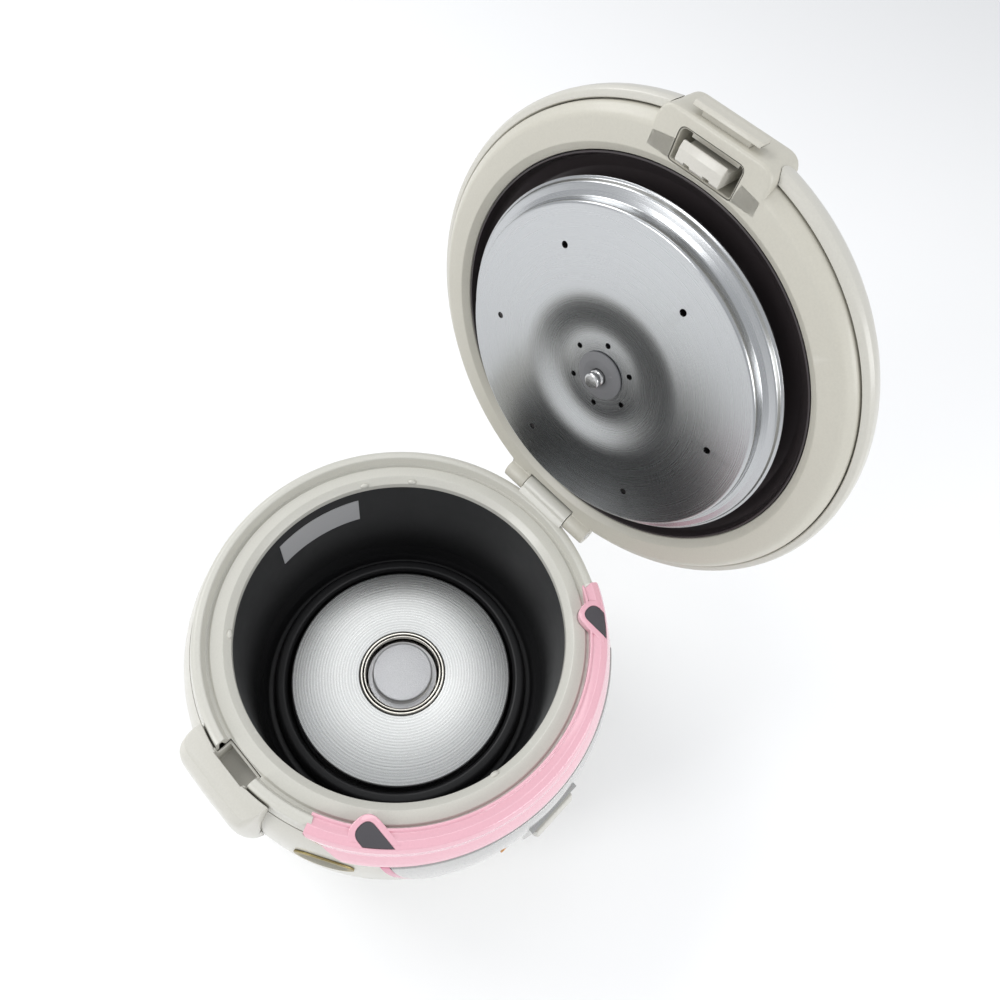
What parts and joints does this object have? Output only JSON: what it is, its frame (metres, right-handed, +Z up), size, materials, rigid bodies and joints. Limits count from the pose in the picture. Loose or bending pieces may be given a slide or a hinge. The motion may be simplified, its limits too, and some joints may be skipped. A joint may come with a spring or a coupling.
{
  "type": "rice cooker",
  "caption": "Jar rice cooker with a hinged domed lid, latch and button, lift-off inner lid, heating plate with sprung thermostat, and a cooking lever.",
  "frame": {"origin": "middle of the base plate's flat underside; the moulded feet stand 6 mm below it", "axes": "+Z up; -Y is the front, with the pink panel and the lever; the lid is hinged at +X and latches at -X"},
  "size_m": [0.3625, 0.297, 0.476],
  "materials": {
    "ivory_plastic": "glossy moulded ivory plastic",
    "ring_plastic": "satin moulded light grey plastic",
    "lid_plastic": "satin moulded beige plastic",
    "pink_plastic": "glossy pink plastic",
    "charcoal_plastic": "matt dark grey plastic",
    "silver_plastic": "glossy pearl silver plastic",
    "badge_gold": "gold foil badge",
    "lamp_lens": "clear amber lens",
    "liner_enamel": "black heat-resistant paint",
    "label_film": "grey printed film",
    "cast_aluminium": "turned in fine rings",
    "sheet_aluminium": "drawn and anodised",
    "steel": "plain bright steel",
    "zinc_plate": "zinc plated",
    "lid_liner_coat": "dark brown non-stick coat",
    "grey_rubber": "soft silicone rubber",
    "ferrite": "sintered",
    "black_plastic": "heat-resistant plastic",
    "ceramic": "steatite",
    "wire_red": "silicone insulation",
    "wire_blue": "silicone insulation"
  },
  "bodies": {
    "cooker": {"outer_shell": "ivory_plastic", "base_plate": "charcoal_plastic", "base_screw_1": "zinc_plate", "base_screw_2": "zinc_plate", "base_screw_3": "zinc_plate", "top_ring": "ring_plastic", "front_panel": "pink_plastic", "panel_inlay_left": "charcoal_plastic", "panel_inlay_right": "charcoal_plastic", "silver_face": "silver_plastic", "trim_curve": "pink_plastic", "cook_lamp_lens": "lamp_lens", "warm_lamp_lens": "lamp_lens", "oval_badge": "badge_gold", "well_liner": "liner_enamel", "keep_warm_band": "zinc_plate", "wall_label": "label_film", "heating_plate": "cast_aluminium", "heating_tube": "steel", "thermostat_ring": "steel", "thermostat_housing": "steel", "thermostat_spring": "steel", "lever_pin": "steel", "lever_bracket": "zinc_plate", "lever_guide": "silver_plastic", "arm_pin": "steel", "arm_bracket": "zinc_plate", "micro_switch": "black_plastic", "inlet_socket": "black_plastic", "inlet_pin_live": "steel", "inlet_pin_neutral": "steel", "terminal_block": "ceramic", "thermal_fuse": "ceramic", "live_wire": "wire_red", "neutral_wire": "wire_blue", "latch_housing": "ivory_plastic", "hinge_pin": "steel", "hinge_spring": "steel"},
    "thermostat_plunger": {"thermostat_cap": "cast_aluminium", "thermostat_ferrite": "ferrite"},
    "magnet": {"thermostat_magnet": "ferrite"},
    "lever": {"cook_lever": "ivory_plastic"},
    "arm": {"lifting_arm": "zinc_plate"},
    "lid": {"lid_frame": "lid_plastic", "lid_top_cover": "ivory_plastic", "lid_liner": "lid_liner_coat", "lid_pin": "steel", "steam_duct": "black_plastic", "liner_screw_1": "zinc_plate", "liner_screw_2": "zinc_plate", "liner_screw_3": "zinc_plate", "catch_pin": "steel"},
    "catch": {"latch_catch": "ivory_plastic"},
    "button": {"release_button": "ivory_plastic"},
    "vent_cap": {"steam_vent_cap": "charcoal_plastic"},
    "inner_lid": {"inner_lid_plate": "sheet_aluminium", "inner_lid_grommet": "grey_rubber"}
  },
  "joints": [
    {"name": "lid_hinge", "type": "hinge", "parent": "cooker", "child": "lid", "pos_m": [0.1363, 0, 0.1892], "axis": [0, 1, 0], "range_deg": [-97, 0]},
    {"name": "button_press", "type": "slide", "parent": "lid", "child": "button", "axis": [-0.1219, 0, -0.9925], "range_m": [0, 0.0024], "stiffness_N_per_m": 400, "springref_m": -0.002},
    {"name": "catch_turn", "type": "hinge", "parent": "lid", "child": "catch", "pos_m": [0.18606, 0, 0.44837], "axis": [0, 1, 0], "range_deg": [-6.1, 0]},
    {"name": "inner_lid_pull", "type": "slide", "parent": "lid", "child": "inner_lid", "axis": [-0.9925, 0, 0.1219], "range_m": [0, 0.03]},
    {"name": "vent_cap_lift", "type": "slide", "parent": "lid", "child": "vent_cap", "axis": [0.9925, 0, -0.1219], "range_m": [0, 0.016]},
    {"name": "lever_press", "type": "hinge", "parent": "cooker", "child": "lever", "pos_m": [0, -0.1156, 0.125], "axis": [1, 0, 0], "range_deg": [0, 14], "stiffness_Nm_per_rad": 0.4, "springref_deg": -17.19},
    {"name": "arm_tilt", "type": "hinge", "parent": "cooker", "child": "arm", "pos_m": [0, -0.06, 0.025], "axis": [1, 0, 0], "range_deg": [0, 2.6]},
    {"name": "magnet_lift", "type": "slide", "parent": "cooker", "child": "magnet", "axis": [0, 0, 1], "range_m": [0, 0.0027]},
    {"name": "cap_press", "type": "slide", "parent": "cooker", "child": "thermostat_plunger", "axis": [0, 0, -1], "range_m": [0, 0.004], "stiffness_N_per_m": 400, "springref_m": -0.004, "deforming": ["thermostat_spring"]}
  ],
  "couplings": [
    {"joint": "catch_turn", "follows": "button_press", "rad_per_m": -43.633},
    {"joint": "arm_tilt", "follows": "lever_press", "ratio": 0.179},
    {"joint": "magnet_lift", "follows": "lever_press", "m_per_rad": 0.01066}
  ]
}
